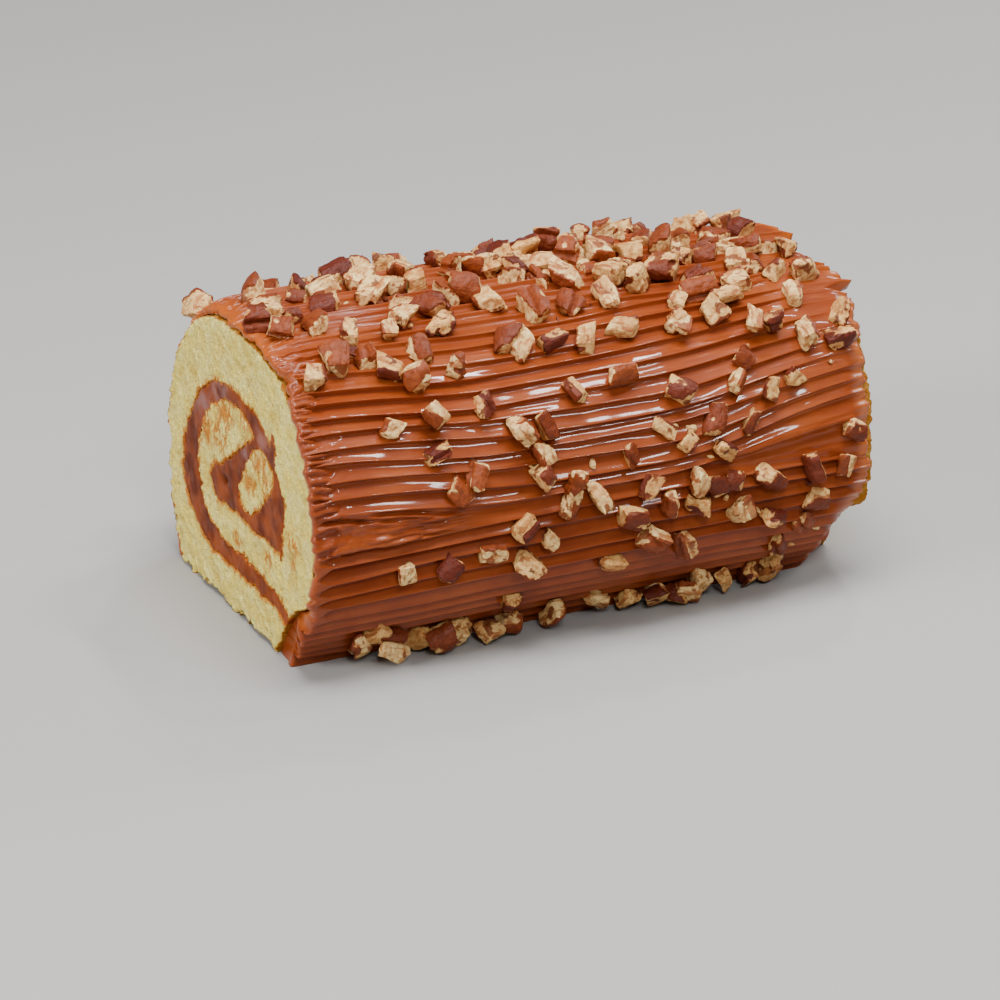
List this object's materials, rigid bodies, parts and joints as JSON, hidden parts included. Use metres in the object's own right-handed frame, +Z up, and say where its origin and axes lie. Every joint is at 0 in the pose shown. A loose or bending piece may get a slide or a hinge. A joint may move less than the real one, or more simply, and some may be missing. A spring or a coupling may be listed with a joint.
{
  "type": "pecan cake roll",
  "caption": "Short sponge cake roll with a caramel spiral at its cut ends, combed caramel over its sides and top, and chopped pecans pressed into the coat.",
  "frame": {"origin": "on the resting plane, under the centre of the bounding box", "axes": "+X along the roll from the cut end that the picture shows to the far end, -Y the front with the lower seam, +Z up"},
  "size_m": [0.1663, 0.1233, 0.0933],
  "materials": {
    "sponge": "soft open crumb, matte",
    "spread": "smooth caramel, low gloss",
    "coat": "combed caramel, glossy, with matte nut pieces"
  },
  "bodies": {
    "root": {"sponge": "sponge", "sponge_core": "sponge", "filling": "spread", "icing": "coat"}
  },
  "joints": []
}
